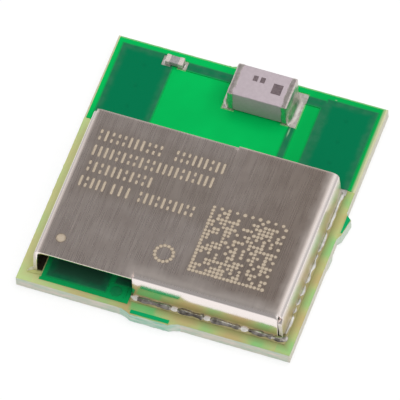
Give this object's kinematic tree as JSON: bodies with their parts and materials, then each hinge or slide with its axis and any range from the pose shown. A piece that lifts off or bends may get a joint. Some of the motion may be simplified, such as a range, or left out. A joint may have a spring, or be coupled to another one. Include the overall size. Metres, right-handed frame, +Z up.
{
  "type": "bluetooth module",
  "caption": "Small square radio board with a folded metal shield can over its radio parts and a ceramic chip antenna at one end, soldered flat to a host board.",
  "frame": {"origin": "centre of the board's outline, on the solder face that lies on the host board", "axes": "+X along the front edge, +Y towards the antenna end, +Z up from the solder face to the shield"},
  "size_m": [0.0094, 0.0098, 0.0017],
  "materials": {
    "laminate": "bare glass-fibre laminate with routed edges",
    "solder_mask": "semi-gloss green solder mask, darker over copper",
    "copper": "copper foil",
    "gilt_land": "gold-plated copper land",
    "antenna_ceramic": "matt pale ceramic",
    "antenna_print": "dark print",
    "capacitor_ceramic": "matt grey-brown ceramic",
    "terminal_tin": "tin plating",
    "solder": "bright reflowed solder",
    "shield_sheet": "brushed plated sheet with laser marks",
    "silicon": "dark coated silicon",
    "crystal_ceramic": "dark ceramic",
    "lid_metal": "plated lid",
    "quartz": "clear quartz",
    "adhesive": "silver-filled adhesive",
    "filter_ceramic": "white ceramic",
    "resistor_ceramic": "white alumina",
    "resistor_film": "dark glaze"
  },
  "bodies": {
    "root": {"laminate": "laminate", "left_ground_foil": "copper", "right_ground_foil": "copper", "tail_foil": "copper", "inner_ground_foil": "copper", "test_land": "copper", "component_lands": "gilt_land", "via_barrels": "copper", "top_solder_mask": "solder_mask", "bottom_ground_foil": "copper", "solder_lands": "gilt_land", "corner_lands": "gilt_land", "bottom_solder_mask": "solder_mask", "antenna_body": "antenna_ceramic", "antenna_terminals": "terminal_tin", "antenna_patches": "antenna_print", "antenna_solder": "solder", "matching_capacitor_body": "capacitor_ceramic", "matching_capacitor_terminals": "terminal_tin", "matching_capacitor_solder": "solder", "shield_can": "shield_sheet", "shield_solder_front": "solder", "shield_solder_right": "solder", "shield_solder_back": "solder", "shield_solder_left": "solder", "radio_chip": "silicon", "radio_chip_balls": "solder", "crystal_base": "crystal_ceramic", "crystal_lid": "lid_metal", "quartz_blank": "quartz", "quartz_adhesive": "adhesive", "crystal_solder": "solder", "band_filter_body": "filter_ceramic", "band_filter_terminals": "terminal_tin", "band_filter_solder": "solder", "supply_capacitor_bodies": "capacitor_ceramic", "supply_capacitor_terminals": "terminal_tin", "supply_capacitor_solder": "solder", "bypass_capacitor_bodies": "capacitor_ceramic", "bypass_capacitor_terminals": "terminal_tin", "bypass_capacitor_solder": "solder", "resistor_bodies": "resistor_ceramic", "resistor_films": "resistor_film", "resistor_terminals": "terminal_tin", "resistor_solder": "solder"}
  },
  "joints": []
}
